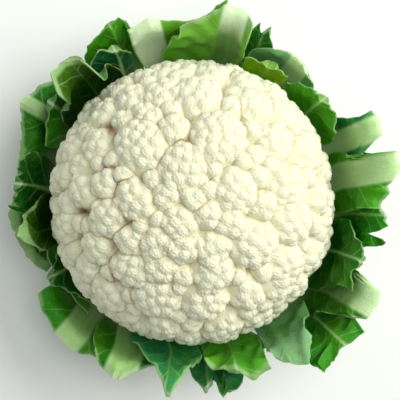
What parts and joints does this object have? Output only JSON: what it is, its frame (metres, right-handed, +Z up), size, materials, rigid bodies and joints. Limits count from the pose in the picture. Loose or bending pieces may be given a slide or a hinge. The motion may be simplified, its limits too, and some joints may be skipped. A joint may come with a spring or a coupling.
{
  "type": "cauliflower",
  "caption": "Trimmed head of cauliflower: a domed white curd of florets on a short cut stalk, ringed by cut green wrapper leaves.",
  "frame": {"origin": "centre of the stalk's flat cut end, on which the head stands", "axes": "+Z up along the head's axis through the middle of the curd; +Y towards the top edge of the picture and +X towards its right, as seen from above"},
  "size_m": [0.2216, 0.2235, 0.1264],
  "materials": {
    "curd_white": "matt, finely grained",
    "stalk_pale_green": "smooth, faintly waxy",
    "leaf_green": "smooth, faintly waxy"
  },
  "bodies": {
    "root": {"curd": "curd_white", "stalk": "stalk_pale_green", "leaf_01": "leaf_green", "leaf_02": "leaf_green", "leaf_03": "leaf_green", "leaf_04": "leaf_green", "leaf_05": "leaf_green", "leaf_06": "leaf_green", "leaf_07": "leaf_green", "leaf_08": "leaf_green", "leaf_09": "leaf_green", "leaf_10": "leaf_green", "leaf_11": "leaf_green", "leaf_12": "leaf_green", "leaf_13": "leaf_green", "leaf_14": "leaf_green", "leaf_15": "leaf_green", "leaf_16": "leaf_green", "leaf_17": "leaf_green", "leaf_18": "leaf_green", "leaf_19": "leaf_green", "leaf_20": "leaf_green", "leaf_21": "leaf_green", "leaf_22": "leaf_green", "leaf_23": "leaf_green", "leaf_24": "leaf_green", "leaf_25": "leaf_green", "leaf_26": "leaf_green", "leaf_27": "leaf_green", "leaf_28": "leaf_green", "leaf_29": "leaf_green", "leaf_30": "leaf_green", "leaf_31": "leaf_green", "leaf_32": "leaf_green", "leaf_33": "leaf_green"}
  },
  "joints": []
}
